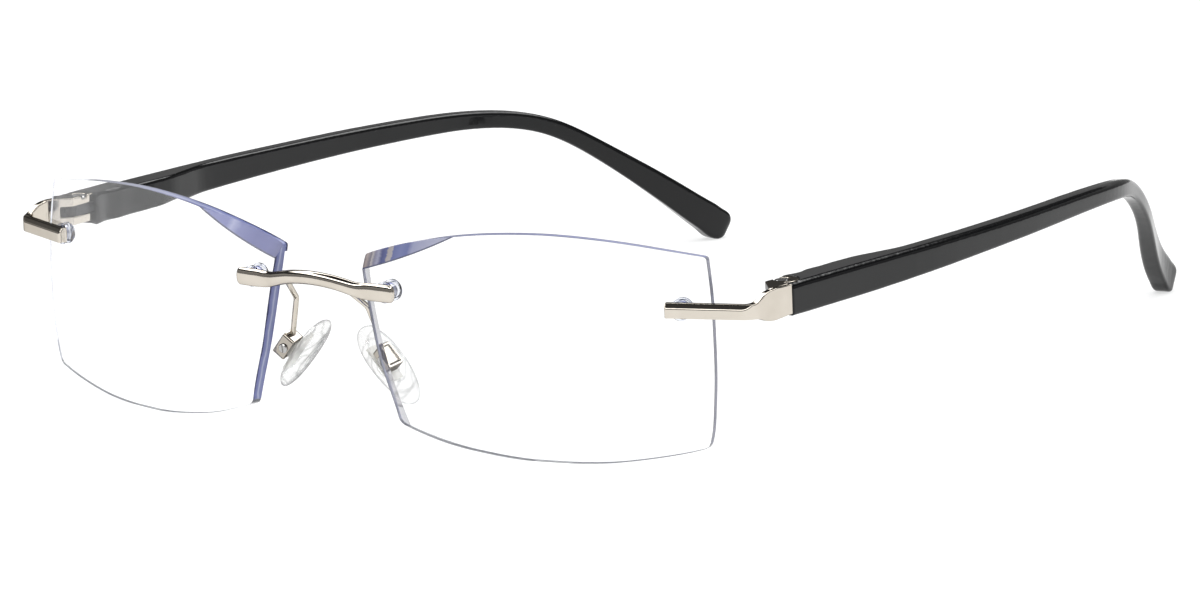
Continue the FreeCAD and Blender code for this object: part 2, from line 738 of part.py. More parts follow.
tang = prism("leaf_tang", [(nx + 0.06, hy), (nx + 0.06, 26.4), (nx + 0.7, 29.6), (68.7, 29.6), (69.0, 26.4), (69.0, hy)],
             leaf_z0, "ear_up_z - ear_low_z - ear_low_t - 2 * tongue_gap", leaf_z1 - leaf_z0)
core = cylinder("core_wire", V(67.95, 28.8, 24.3), Vector(0.02, 1, 0.003), D["core_r"], D["core_len"], "core_r", "core_len")
leaf_raw = fuse("leaf_raw", [leaf_eye, tang, core])
bore = cylinder("leaf_bore", V(hx, hy, 15), Vector(0, 0, 1), D["screw_r"] + D["pin_gap"], 20)
bore.setExpression("Radius", "dims.screw_r + dims.pin_gap")
left_core = cut("left_temple_core", leaf_raw, [bore])
node("left_temple_core", left_core)
node("right_temple_core", mirrored("right_temple_core", left_core))

print("slab lowest", slab.Shape.BoundBox.ZMin)
left_temple = cut("left_temple", slab, [round_room, front_room, left_core, table])
node("left_temple", left_temple)
node("right_temple", mirrored("right_temple", left_temple))

# ---------------------------------------------------------------- bridge
bn0 = pn + an * SEAT
tn = Vector(-an.y, an.x, 0)
if tn.x < 0:
    tn = tn * -1


def lug_shape(sign):
    """A short flat bar over the lens, rounded at its free end."""
    zl_, zh_ = D["lug_low"], D["lug_high"]
    r = 0.5
    pts = []
    x0 = D["lug_in"] - D["nasal_x"]
    x1 = D["lug_out"] - D["nasal_x"]
    back = bn0
    fr = bn0 + an * D["lug_t"]

    def P(s, base, z):
        q = base + tn * s
        return Vector(q.x * sign, q.y, z)

    bot = []
    w = [P(x0, back, zl_), P(x1, back, zl_), P(x1, fr - an * 0.0, zl_), P(x0, fr, zl_)]
    f = Part.Face(Part.makePolygon(w + [w[0]]))
    s = f.extrude(Vector(0, 0, zh_ - zl_))
    edges = []
    for e in s.Edges:
        c = e.CenterOfMass
        vert = abs(e.Vertexes[0].Point.z - e.Vertexes[1].Point.z) > 1
        far = abs(abs(c.x) - abs(w[2].x)) < 0.3
        if vert and far:
            edges.append(e)
    s = s.makeFillet(0.45, edges)
    return s


lug_l = feature("lug_left", lug_shape(1))
lug_r = feature("lug_right", lug_shape(-1))

def arch_section(x, y, z, h, d, r):
    c = V(x, y, z)

    def P(a, b):
        return c + Vector(0, a, b)

    a, b = d / 2, h / 2
    s = math.sqrt(0.5)
    e = []
    seq = [((-a, -b + r), (-a, b - r), None), ((-a, b - r), (-a + r, b), (-a + r - r * s, b - r + r * s)),
           ((-a + r, b), (a - r, b), None), ((a - r, b), (a, b - r), (a - r + r * s, b - r + r * s)),
           ((a, b - r), (a, -b + r), None), ((a, -b + r), (a - r, -b), (a - r + r * s, -b + r - r * s)),
           ((a - r, -b), (-a + r, -b), None), ((-a + r, -b), (-a, -b + r), (-a + r - r * s, -b + r - r * s))]
    for p, q, m in seq:
        e.append(Part.LineSegment(P(*p), P(*q)).toShape() if m is None else Part.Arc(P(*p), P(*m), P(*q)).toShape())
    return Part.Wire(e)


ly = bn0.y + Y0 - D["lug_t"] / 2
ARCH = [(10.2, ly, 23.5, 2.1, 1.15, 0.3), (9.0, ly - 0.05, 23.5, 2.1, 1.2, 0.4), (7.6, ly - 0.3, 23.78, 1.85, 1.3, 0.5),
        (5.8, ly - 0.65, 24.22, 1.75, 1.4, 0.55), (3.4, ly - 1.0, 24.68, 1.72, 1.45, 0.6)]
arch_list = [(-x, y, z, h_, d_, r_) for x, y, z, h_, d_, r_ in ARCH] + [(0, ly - 1.15, 24.88, 1.72, 1.45, 0.6)] + ARCH[::-1]
arch = feature("bridge_arch", Part.makeLoft([arch_section(*q) for q in arch_list], True, False))
post_l = post("bridge_post_left", pn, an, D["nasal_x"], D["nasal_z"])
post_r_src = mirrored("bridge_post_right", post_l)
bridge = fuse("bridge", [arch, lug_l, lug_r, post_l, post_r_src])
node("bridge", bridge)

# ---------------------------------------------------------------- pads
pad_c = V(8.2, 4.4, 11.2)
e_long = Vector(-0.66, -0.06, 0.75).normalize()          # up the pad
e_wide = Vector(0.12, 0.97, 0.19)
e_wide = (e_wide - e_long * e_wide.dot(e_long)).normalize()   # towards the face
e_out = e_wide.cross(e_long).normalize()
if e_out.x < 0:
    e_out = e_out * -1                                    # away from the nose


def pad_place(long_=0.0, wide=0.0, out=0.0):
    o = pad_c + e_long * long_ + e_wide * wide + e_out * out
    m = FreeCAD.Matrix(e_long.x, e_wide.x, e_out.x, o.x, e_long.y, e_wide.y, e_out.y, o.y,
                       e_long.z, e_wide.z, e_out.z, o.z, 0, 0, 0, 1)
    if e_long.cross(e_wide).dot(e_out) < 0:
        m = FreeCAD.Matrix(-e_long.x, e_wide.x, e_out.x, o.x, -e_long.y, e_wide.y, e_out.y, o.y,
                           -e_long.z, e_wide.z, e_out.z, o.z, 0, 0, 0, 1)
    return Placement(m)


def pad_section(k_, out):
    """An oval across the pad at a height out, scaled by k."""
    a, b = D["pad_long"] / 2 * k_, D["pad_wide"] / 2 * k_
    pts = []
    n = 24
    for i in range(n):
        t = 2 * math.pi * i / n
        c, s = math.cos(t), math.sin(t)
        x = a * math.copysign(abs(c) ** 0.92, c)
        y = b * math.copysign(abs(s) ** 0.88, s) * (1.0 - 0.10 * c)
        pts.append(Vector(x, y, out))
    cur = Part.BSplineCurve()
    cur.interpolate(pts, PeriodicFlag=True)
    return Part.Wire([cur.toShape()])


th = D["pad_thick"]
levels = [(0.45, -th / 2), (0.78, -th / 2 + 0.22), (0.95, -th / 2 + 0.7), (1.0, -th / 2 + 1.25),
          (0.97, -th / 2 + 1.75), (0.86, th / 2 - 0.3), (0.66, th / 2)]
pad_raw = feature("pad_oval", Part.makeLoft([pad_section(k_, o) for k_, o in levels], True, False))
pad_raw.Placement = pad_place()

# mounting tab, moulded into the pad and standing up into the box
tab_w, tab_l, tab_t = D["tab_w"], D["tab_len"], D["tab_t"]
BL = 0.3                                                   # box centre along the pad
BW = -1.45                                                  # and across it, towards the front
tab_top = doc.addObject("Part::Box", "pad_tab_top")
tab_top.Length = tab_l
tab_top.Width = tab_w
tab_top.Height = tab_t
bind(tab_top, Length="tab_len", Width="tab_w", Height="tab_t")
tab_top.Placement = pad_place(BL, BW, th / 2 - 0.25).multiply(Placement(Vector(-tab_l / 2, -tab_w / 2, 0), Rotation()))
tab_foot = doc.addObject("Part::Box", "pad_tab_foot")
tab_foot.Length = 6.2
tab_foot.Width = 3.0
tab_foot.Height = 0.5
tab_foot.Placement = pad_place(BL, BW + 0.3, th / 2 - 0.75).multiply(Placement(Vector(-3.1, -1.5, 0), Rotation()))
tab_raw = fuse("pad_tab_raw", [tab_top, tab_foot])
pivot = 1.2                                                # screw height above the pad's back
ps = pad_place(BL, BW - 4.0, th / 2 + pivot)
pscrew_bore = doc.addObject("Part::Cylinder", "pad_tab_bore")
pscrew_bore.Radius = D["pscrew_r"] + 0.04
pscrew_bore.Height = 8
pscrew_bore.setExpression("Radius", "dims.pscrew_r + 0.04")
pscrew_bore.Placement = frame_of(ps.Base, e_wide, e_long)
left_tab = cut("left_pad_insert", tab_raw, [pscrew_bore])
node("left_pad_insert", left_tab)
node("right_pad_insert", mirrored("right_pad_insert", left_tab))
left_pad = cut("left_nose_pad", pad_raw, [left_tab])
node("left_nose_pad", left_pad)
node("right_nose_pad", mirrored("right_nose_pad", left_pad))

# the box: a small stamped cup that holds the tab
bl, bw, bd, wall = D["box_len"], D["box_w"], D["box_d"], D["box_wall"]
clear = 0.32                                               # box mouth above the pad
outer_box = doc.addObject("Part::Box", "pad_box_outer")
bind(outer_box, Length="box_len", Width="box_w", Height="box_d")
outer_box.Placement = pad_place(BL, BW, th / 2 + clear).multiply(Placement(Vector(-bl / 2, -bw / 2, 0), Rotation()))
doc.recompute()
rounded = doc.addObject("Part::Fillet", "pad_box_rounded")
rounded.Base = outer_box
ids = []
for i, e in enumerate(outer_box.Shape.Edges):
    d = (e.Vertexes[1].Point - e.Vertexes[0].Point).normalize()
    mid = e.CenterOfMass - outer_box.Placement.Base
    if abs(d.dot(e_out)) > 0.9:
        ids.append((i + 1, D["box_round"], D["box_round"]))
rounded.Edges = ids
hollow = doc.addObject("Part::Box", "pad_box_hollow")
hollow.Length = bl - 2 * wall
hollow.Width = bw - 2 * wall
hollow.Height = bd
hollow.setExpression("Length", "dims.box_len - 2 * dims.box_wall")
hollow.setExpression("Width", "dims.box_w - 2 * dims.box_wall")
hollow.Placement = pad_place(BL, BW, th / 2 + clear).multiply(
    Placement(Vector(-(bl - 2 * wall) / 2, -(bw - 2 * wall) / 2, -wall - 0.05), Rotation()))
dish = doc.addObject("Part::Box", "pad_box_dish")
dish.Length = bl - 1.0
dish.Width = bw - 1.0
dish.Height = 1.0
dish.Placement = pad_place(BL, BW, th / 2 + clear + bd - 0.22).multiply(
    Placement(Vector(-(bl - 1.0) / 2, -(bw - 1.0) / 2, 0), Rotation()))
box_screw = doc.addObject("Part::Cylinder", "pad_box_screw_hole")
box_screw.Radius = D["pscrew_r"]
box_screw.Height = 8
bind(box_screw, Radius="pscrew_r")
box_screw.Placement = frame_of(ps.Base, e_wide, e_long)

# arm: a wire from the bridge down to the box
a0 = V(5.5, ly + 0.1, 23.75)
a1 = V(6.85, 1.35, 20.3)
back_c = pad_c + e_long * (BL + bl / 2 - 0.12) + e_wide * (BW + 0.2) + e_out * (th / 2 + clear + bd * 0.6)
a2 = back_c
u1 = (a0 - a1).normalize()
u2 = (a2 - a1).normalize()
half = math.acos(u1.dot(u2)) / 2
rb_ = D["arm_bend"]
tt = rb_ / math.tan(half)
q1 = a1 + u1 * tt
q2 = a1 + u2 * tt
bis = (u1 + u2).normalize()
qm = a1 + bis * (rb_ / math.sin(half) - rb_)
spine_w = Part.Wire([Part.LineSegment(a0, q1).toShape(), Part.Arc(q1, qm, q2).toShape(),
                     Part.LineSegment(q2, a2).toShape()])
path_obj = feature("pad_arm_path", spine_w)
circ = doc.addObject("Part::Circle", "pad_arm_section")
circ.Radius = D["arm_r"]
bind(circ, Radius="arm_r")
circ.Placement = frame_of(a0, u1 * -1, Vector(1, 0, 0))
arm = doc.addObject("Part::Sweep", "pad_arm_wire")
arm.Sections = [circ]
arm.Spine = (path_obj, ["Edge1", "Edge2", "Edge3"])
arm.Solid = True
arm.Frenet = False
box_cut = cut("left_pad_box", rounded, [hollow, dish, box_screw])
node("left_pad_box", box_cut)
node("right_pad_box", mirrored("right_pad_box", box_cut))
left_arm = cut("left_pad_arm", arm, [bridge, box_cut])
node("left_pad_arm", left_arm)
node("right_pad_arm", mirrored("right_pad_arm", left_arm))

# pad screw, through the box walls and the tab
hw = bw / 2
psc = revolved("left_pad_screw_blank",
               [("0", "0"), ("pscrew_head_r-0.1", "0"), ("pscrew_head_r", "0.1"), ("pscrew_head_r", "pscrew_head_t"),
                ("pscrew_r", "pscrew_head_t"), ("pscrew_r", "pscrew_head_t+box_w"), ("0", "pscrew_head_t+box_w")],
               frame_of(pad_place(BL, BW, th / 2 + pivot).Base - e_wide * (hw + D["pscrew_head_t"]), e_wide, e_long))
pslot = doc.addObject("Part::Box", "pad_screw_slot")
pslot.Length = 3
pslot.Width = 0.2
pslot.Height = 0.4
pslot.Placement = frame_of(pad_place(BL, BW, th / 2 + pivot).Base - e_wide * (hw + D["pscrew_head_t"] + 0.25), e_wide,
                           (e_long + e_out * 0.8)).multiply(Placement(Vector(-1.5, -0.1, 0), Rotation()))
left_pscrew = cut("left_pad_screw", psc, [pslot])
node("left_pad_screw", left_pscrew)
node("right_pad_screw", mirrored("right_pad_screw", left_pscrew))

# ---------------------------------------------------------------- checks, export
doc.recompute()
bad = []
for o in doc.Objects:
    if "Invalid" in o.State or "Error" in o.State:
        bad.append("%s: %s" % (o.Name, o.State))
for label, o in NODES.items():
    s = o.Shape
    if s.isNull() or not s.isValid() or len(s.Solids) != 1:
        bad.append("%s: null or invalid, %d solids" % (label, len(s.Solids) if not s.isNull() else 0))
if bad:
    raise RuntimeError("; ".join(bad))
os.makedirs("parts", exist_ok=True)
for label, o in NODES.items():
    o.Shape.exportStep("parts/%s.step" % label)
low = min(o.Shape.BoundBox.ZMin for o in NODES.values())
ymin = min(o.Shape.BoundBox.YMin for o in NODES.values())
ymax = max(o.Shape.BoundBox.YMax for o in NODES.values())
xmin = min(o.Shape.BoundBox.XMin for o in NODES.values())
xmax = max(o.Shape.BoundBox.XMax for o in NODES.values())
print("nodes %d, x %.2f..%.2f, y %.2f..%.2f, lowest z %.3f" % (len(NODES), xmin, xmax, ymin, ymax, low))
print("lowest: lens %.4f, temple %.4f" % (left_lens.Shape.BoundBox.ZMin, left_temple.Shape.BoundBox.ZMin))
print("screw axis", V(hx, hy, 24), "pad pivot", pad_place(BL, BW, th / 2 + pivot).Base, e_wide)
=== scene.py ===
import bpy, bmesh, json, math
from mathutils import Vector, Matrix


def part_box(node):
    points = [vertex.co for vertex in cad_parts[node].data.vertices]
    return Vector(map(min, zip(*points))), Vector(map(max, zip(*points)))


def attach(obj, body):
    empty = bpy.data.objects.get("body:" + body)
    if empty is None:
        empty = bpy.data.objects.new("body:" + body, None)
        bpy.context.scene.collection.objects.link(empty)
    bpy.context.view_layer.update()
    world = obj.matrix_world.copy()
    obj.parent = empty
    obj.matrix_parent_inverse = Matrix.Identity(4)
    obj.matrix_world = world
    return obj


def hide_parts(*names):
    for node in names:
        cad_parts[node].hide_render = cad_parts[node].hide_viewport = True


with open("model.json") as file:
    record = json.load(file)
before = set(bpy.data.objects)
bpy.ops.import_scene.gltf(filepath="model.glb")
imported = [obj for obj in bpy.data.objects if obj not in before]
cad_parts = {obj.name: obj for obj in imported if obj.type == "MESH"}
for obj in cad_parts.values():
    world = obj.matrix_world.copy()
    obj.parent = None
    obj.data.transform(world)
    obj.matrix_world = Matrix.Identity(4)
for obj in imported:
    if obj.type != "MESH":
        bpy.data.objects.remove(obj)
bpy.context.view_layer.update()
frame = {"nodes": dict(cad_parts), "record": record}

scene = bpy.context.scene
N = frame["nodes"]
MM = 0.001

# ------------------------------------------------------------------ view
scene.view_settings.view_transform = "Standard"
scene.view_settings.look = "None"
scene.view_settings.exposure = 0.0
scene.view_settings.gamma = 1.0


def camera():
    yaw, pitch, roll = 0.68303, 0.19895, -0.03621
    focal_px, dist = 11043.245, 1653.674
    target = Vector((12.84693, 48.00545 - 73.26, 13.45869))
    d = Vector((-math.sin(yaw) * math.cos(pitch), math.cos(yaw) * math.cos(pitch), -math.sin(pitch)))
    r = Vector((math.cos(yaw), math.sin(yaw), 0))
    u = r.cross(d)
    r2 = r * math.cos(roll) + u * math.sin(roll)
    u2 = u * math.cos(roll) - r * math.sin(roll)
    pos = (target - d * dist) * MM
    cam = bpy.data.cameras.new("camera")
    cam.sensor_fit = "HORIZONTAL"
    cam.sensor_width = 36.0
    cam.lens = 36.0 * focal_px / 1200.0
    cam.clip_start = 0.05
    cam.clip_end = 30.0
    ob = bpy.data.objects.new("camera", cam)
    m = Matrix((r2, u2, -d)).transposed().to_4x4()
    m.translation = pos
    ob.matrix_world = m
    scene.collection.objects.link(ob)
    scene.camera = ob


camera()


# ------------------------------------------------------------------ node helpers
class Mat:
    def __init__(self, name):
        self.m = bpy.data.materials.new(name)
        self.m.use_nodes = True
        self.t = self.m.node_tree
        self.t.nodes.clear()
        self.out = self.t.nodes.new("ShaderNodeOutputMaterial")

    def n(self, kind, **props):
        node = self.t.nodes.new(kind)
        for k, v in props.items():
            if k in node.inputs:
                node.inputs[k].default_value = v
            else:
                setattr(node, k, v)
        return node

    def l(self, a, b):
        self.t.links.new(a, b)

    def coords(self):
        g = self.n("ShaderNodeNewGeometry")
        return g

    def noise(self, scale, detail=2.0, rough=0.5, vec=None, stretch=None):
        tc = self.n("ShaderNodeTexCoord")
        src = vec or tc.outputs["Object"]
        if stretch:
            mp = self.n("ShaderNodeMapping")
            mp.inputs["Scale"].default_value = stretch
            self.l(src, mp.inputs["Vector"])
            src = mp.outputs["Vector"]
        no = self.n("ShaderNodeTexNoise")
        no.inputs["Scale"].default_value = scale
        no.inputs["Detail"].default_value = detail
        no.inputs["Roughness"].default_value = rough
        self.l(src, no.inputs["Vector"])
        return no.outputs["Fac"]

    def ramp(self, fac, stops, interp="LINEAR"):
        r = self.n("ShaderNodeValToRGB")
        r.color_ramp.interpolation = interp
        els = r.color_ramp.elements
        while len(els) > 1:
            els.remove(els[-1])
        for i, (p, c) in enumerate(stops):
            e = els[0] if i == 0 else els.new(p)
            e.position = p
            e.color = c if len(c) == 4 else (*c, 1.0)
        self.l(fac, r.inputs["Fac"])
        return r.outputs["Color"]

    def math(self, op, a, b=None, clamp=False):
        m = self.n("ShaderNodeMath")
        m.operation = op
        m.use_clamp = clamp
        for i, v in enumerate((a, b)):
            if v is None:
                continue
            if isinstance(v, (int, float)):
                m.inputs[i].default_value = v
            else:
                self.l(v, m.inputs[i])
        return m.outputs[0]

    def bump(self, height, strength=0.1, distance=0.0001):
        b = self.n("ShaderNodeBump")
        b.inputs["Strength"].default_value = strength
        b.inputs["Distance"].default_value = distance
        self.l(height, b.inputs["Height"])
        return b.outputs["Normal"]

    def see_through_shadow(self, shader, colour=(0.93, 0.94, 0.96, 1)):
        """Clear pieces let the studio light through instead of casting a solid shadow."""
        lp = self.n("ShaderNodeLightPath")
        tr = self.n("ShaderNodeBsdfTransparent")
        tr.inputs["Color"].default_value = colour
        mix = self.n("ShaderNodeMixShader")
        self.l(lp.outputs["Is Shadow Ray"], mix.inputs["Fac"])
        self.l(shader, mix.inputs[1])
        self.l(tr.outputs[0], mix.inputs[2])
        return mix.outputs[0]

    def done(self, shader):
        self.l(shader, self.out.inputs["Surface"])
        return self.m


def polished_silver(name="polished_silver", tone=1.0):
    m = Mat(name)
    p = m.n("ShaderNodeBsdfPrincipled")
    broad = m.noise(220.0, 2.0)
    col = m.ramp(broad, [(0.3, (0.60 * tone, 0.55 * tone, 0.48 * tone)), (0.7, (0.655 * tone, 0.605 * tone, 0.535 * tone))])
    # painted shade: the base colour goes near black where the surface turns away, a painted dark rim standing in for
    # dark reflections at the edges
    lw = m.n("ShaderNodeLayerWeight")
    lw.inputs["Blend"].default_value = 0.5
    rim = m.n("ShaderNodeMixRGB")
    rim.inputs["Color2"].default_value = (0.045, 0.042, 0.04, 1)
    m.l(m.ramp(lw.outputs["Facing"], [(0.0, (0.0,) * 3), (0.79, (0.0,) * 3), (0.9, (0.75,) * 3), (1.0, (1.0,) * 3)]), rim.inputs["Fac"])
    m.l(col, rim.inputs["Color1"])
    m.l(rim.outputs["Color"], p.inputs["Base Color"])
    p.inputs["Specular Tint"].default_value = (0.25, 0.25, 0.25, 1)
    p.inputs["Metallic"].default_value = 1.0
    fine = m.noise(5200.0, 3.0, 0.6, stretch=(0.25, 1.0, 1.0))
    rough = m.ramp(fine, [(0.35, (0.055,) * 3), (0.75, (0.11,) * 3)])
    m.l(rough, p.inputs["Roughness"])
    m.l(m.bump(fine, 0.05, 0.00002), p.inputs["Normal"])
    return m.done(p.outputs[0])


def screw_steel():
    m = Mat("screw_steel")
    p = m.n("ShaderNodeBsdfPrincipled")
    fine = m.noise(9000.0, 3.0, 0.6)
    col = m.ramp(fine, [(0.2, (0.36, 0.355, 0.35)), (0.8, (0.5, 0.495, 0.485))])
    m.l(col, p.inputs["Base Color"])
    p.inputs["Metallic"].default_value = 1.0
    m.l(m.ramp(fine, [(0.3, (0.10,) * 3), (0.8, (0.2,) * 3)]), p.inputs["Roughness"])
    m.l(m.bump(fine, 0.08, 0.00002), p.inputs["Normal"])
    return m.done(p.outputs[0])


def black_gloss():
    m = Mat("black_gloss")
    p = m.n("ShaderNodeBsdfPrincipled")
    broad = m.noise(90.0, 3.0)
    col = m.ramp(broad, [(0.3, (0.0035, 0.0038, 0.0042)), (0.75, (0.0055, 0.0056, 0.006))])
    m.l(col, p.inputs["Base Color"])
    p.inputs["IOR"].default_value = 1.37
    wear = m.noise(3500.0, 4.0, 0.65)
    m.l(m.ramp(wear, [(0.4, (0.10,) * 3), (0.8, (0.17,) * 3)]), p.inputs["Roughness"])
    peel = m.noise(700.0, 2.0, 0.4)
    m.l(m.bump(peel, 0.03, 0.0001), p.inputs["Normal"])
    return m.done(p.outputs[0])


def black_steel():
    m = Mat("black_steel")
    p = m.n("ShaderNodeBsdfPrincipled")
    fine = m.noise(6000.0, 3.0, 0.6)
    m.l(m.ramp(fine, [(0.3, (0.02, 0.022, 0.025)), (0.8, (0.045, 0.048, 0.052))]), p.inputs["Base Color"])
    p.inputs["Metallic"].default_value = 0.3
    m.l(m.ramp(fine, [(0.3, (0.22,) * 3), (0.8, (0.34,) * 3)]), p.inputs["Roughness"])
    m.l(m.bump(fine, 0.1, 0.00002), p.inputs["Normal"])
    return m.done(p.outputs[0])


def lens_clear(sign, side):
    """Clear faces; edge and facet, told apart by the surface's direction, carry the blue-violet
    tint of a coated lens. Across the lens's thickness the tint is painted in bands: painted dark lines at the front and
    back of the edge and a lighter painted highlight between, standing in for reflections inside the edge."""
    m = Mat("lens_clear_" + side)
    phi = math.radians(12.3)
    opt = (sign * math.sin(phi), -math.cos(phi), 0.0)
    lat = (sign * math.cos(phi), math.sin(phi), 0.0)
    g = m.n("ShaderNodeNewGeometry")
    tc = m.n("ShaderNodeTexCoord")

    def dot(vec):
        d = m.n("ShaderNodeVectorMath", operation="DOT_PRODUCT")
        d.inputs[1].default_value = vec
        m.l(g.outputs["True Normal"], d.inputs[0])
        return d.outputs["Value"]

    facing = m.math("ABSOLUTE", dot(opt))
    side_n = dot(lat)
    up_n = dot((0, 0, 1))
    sub = m.n("ShaderNodeVectorMath", operation="SUBTRACT")
    sub.inputs[1].default_value = (sign * 4.8 * MM, (142.39 - 73.26) * MM, 16.21 * MM)
    m.l(tc.outputs["Object"], sub.inputs[0])
    ln = m.n("ShaderNodeVectorMath", operation="LENGTH")
    m.l(sub.outputs["Vector"], ln.inputs[0])
    depth = m.math("MULTIPLY", m.math("SUBTRACT", 144.2 * MM, ln.outputs["Value"]), 1000.0)
    xyz = m.n("ShaderNodeSeparateXYZ")
    m.l(tc.outputs["Object"], xyz.inputs[0])
    x = m.math("MULTIPLY", xyz.outputs["X"], sign * 1000.0)
    z = m.math("MULTIPLY", xyz.outputs["Z"], 1000.0)
    # thickness falls from the nose to the temple
    thick = m.math("SUBTRACT", 2.32, m.math("MULTIPLY", x, 0.0207))
    dn = m.math("DIVIDE", depth, thick)

    def step(v, a, b):
        r = m.n("ShaderNodeMapRange")
        r.interpolation_type = "SMOOTHSTEP"
        r.inputs["From Min"].default_value = a
        r.inputs["From Max"].default_value = b
        r.inputs["To Min"].default_value = 0.0
        r.inputs["To Max"].default_value = 1.0
        m.l(v, r.inputs["Value"])
        return r.outputs["Result"]

    wave = m.noise(260.0, 2.0, 0.5)
    fine = m.noise(1300.0, 2.0, 0.5, stretch=(0.25, 0.25, 2.0))
    shift = m.math("ADD", dn, m.math("MULTIPLY", m.math("SUBTRACT", wave, 0.5), 0.35))
    # the edge's blue-violet tint with painted dark lines at both faces and a painted lighter highlight in the middle
    band = m.ramp(shift, [(0.0, (0.024, 0.028, 0.079)), (0.09, (0.043, 0.048, 0.132)), (0.16, (0.155, 0.172, 0.370)),
                          (0.34, (0.202, 0.224, 0.431)), (0.45, (0.430, 0.456, 0.607)), (0.54, (0.249, 0.271, 0.466)),
                          (0.84, (0.163, 0.185, 0.378)), (0.91, (0.039, 0.043, 0.114)), (1.0, (0.030, 0.034, 0.088))])
    # paler towards the temple
    pale = step(x, 18.0, 52.0)
    light = m.n("ShaderNodeMixRGB")
    light.inputs["Color2"].default_value = (0.8, 0.82, 0.92, 1)
    m.l(m.math("MULTIPLY", pale, 0.12 if sign > 0 else 0.75), light.inputs["Fac"])
    m.l(band, light.inputs["Color1"])
    # the facet: painted reflections, short slanting streaks of beige, grey and blue, then a long pale run
    u = m.math("ADD", x, m.math("MULTIPLY", m.math("SUBTRACT", z, 28.0), 0.22))
    u = m.math("ADD", u, m.math("MULTIPLY", m.math("SUBTRACT", fine, 0.5), 0.7))
    un = m.math("DIVIDE", m.math("SUBTRACT", u, 8.0), 17.0)
    facet_painted_reflections = m.ramp(un, [(0.0, (0.147, 0.132, 0.142)), (0.03, (0.303, 0.254, 0.247)), (0.075, (0.122, 0.118, 0.158)), (0.09, (0.352, 0.323, 0.326)),
                          (0.12, (0.147, 0.147, 0.221)), (0.16, (0.245, 0.245, 0.347)), (0.19, (0.089, 0.098, 0.200)), (0.205, (0.034, 0.044, 0.158)),
                          (0.255, (0.049, 0.064, 0.200)), (0.27, (0.303, 0.274, 0.273)), (0.32, (0.323, 0.303, 0.316)), (0.335, (0.078, 0.098, 0.263)),
                          (0.42, (0.118, 0.142, 0.316)), (0.5, (0.098, 0.118, 0.290)), (0.56, (0.245, 0.260, 0.400)), (0.72, (0.303, 0.314, 0.442)),
                          (1.0, (0.367, 0.377, 0.484))])
    # on the right lens the painted facet reflections are blues only
    if sign < 0:
        facet_painted_reflections = m.ramp(un, [(0.0, (0.055, 0.062, 0.2)), (0.12, (0.085, 0.095, 0.27)), (0.3, (0.075, 0.085, 0.26)), (0.5, (0.12, 0.135, 0.33)),
                              (0.6, (0.28, 0.3, 0.48)), (0.66, (0.14, 0.155, 0.36)), (1.0, (0.17, 0.185, 0.39))])
    is_facet = m.math("MULTIPLY", step(facing, 0.35, 0.45), m.math("SUBTRACT", 1.0, step(facing, 0.9, 0.94)))
    is_rim = m.math("SUBTRACT", 1.0, step(facing, 0.35, 0.45))
    # painted shade: a dark line along the front edge of the facet
    facet_edge_painted_dark = m.math("SUBTRACT", 1.0, step(depth, 0.1, 0.18))
    dark = m.n("ShaderNodeMixRGB")
    dark.inputs["Color2"].default_value = (0.05, 0.055, 0.11, 1)
    m.l(facet_edge_painted_dark, dark.inputs["Fac"])
    m.l(facet_painted_reflections, dark.inputs["Color1"])
    tint = m.n("ShaderNodeMixRGB")
    m.l(is_facet, tint.inputs["Fac"])
    m.l(light.outputs["Color"], tint.inputs["Color1"])
    m.l(dark.outputs["Color"], tint.inputs["Color2"])
    # temporal and bottom edges: only fine painted grey lines, with painted dark lines along the front and back of the
    # edge and a darker grey painted as shade on the bottom edges
    bottom_edge_painted_darker = m.math("MULTIPLY", step(m.math("ABSOLUTE", up_n), 0.35, 0.6), m.math("SUBTRACT", 1.0, step(z, 12.0, 14.0)))
    quiet = m.math("MAXIMUM", step(side_n, 0.35, 0.6), bottom_edge_painted_darker)
    quiet = m.math("MULTIPLY", quiet, is_rim)
    line = m.math("MAXIMUM", m.math("SUBTRACT", 1.0, step(dn, 0.16, 0.24)), step(dn, 0.9, 0.96))
    painted_dark_lines_mix = m.n("ShaderNodeMixRGB")
    base = m.n("ShaderNodeMixRGB")
    base.inputs["Color1"].default_value = (0.36, 0.37, 0.45, 1)
    base.inputs["Color2"].default_value = (0.17, 0.175, 0.19, 1)
    m.l(bottom_edge_painted_darker, base.inputs["Fac"])
    m.l(base.outputs["Color"], painted_dark_lines_mix.inputs["Color1"])
    painted_dark_lines_mix.inputs["Color2"].default_value = (0.13, 0.132, 0.15, 1)
    m.l(m.math("MULTIPLY", line, 0.85), painted_dark_lines_mix.inputs["Fac"])
    grey = m.n("ShaderNodeMixRGB")
    m.l(painted_dark_lines_mix.outputs["Color"], grey.inputs["Color2"])
    m.l(quiet, grey.inputs["Fac"])
    m.l(tint.outputs["Color"], grey.inputs["Color1"])
    p = m.n("ShaderNodeBsdfPrincipled")
    m.l(grey.outputs["Color"], p.inputs["Base Color"])
    p.inputs["Roughness"].default_value = 0.08
    p.inputs["IOR"].default_value = 1.3
    p.inputs["Coat Weight"].default_value = 0.12
    p.inputs["Coat Roughness"].default_value = 0.03
    glass = m.n("ShaderNodeBsdfGlass")
    glass.inputs["Color"].default_value = (0.994, 0.996, 1.0, 1)
    m.l(m.ramp(wave, [(0.2, (0.0,) * 3), (0.8, (0.004,) * 3)]), glass.inputs["Roughness"])
    glass.inputs["IOR"].default_value = 1.5
    # the coating takes about half of the surface reflection away
    coated = m.n("ShaderNodeBsdfRefraction")
    coated.inputs["Color"].default_value = (0.994, 0.996, 1.0, 1)
    coated.inputs["IOR"].default_value = 1.5
    m.l(m.ramp(wave, [(0.2, (0.0,) * 3), (0.8, (0.004,) * 3)]), coated.inputs["Roughness"])
    clear = m.n("ShaderNodeMixShader")
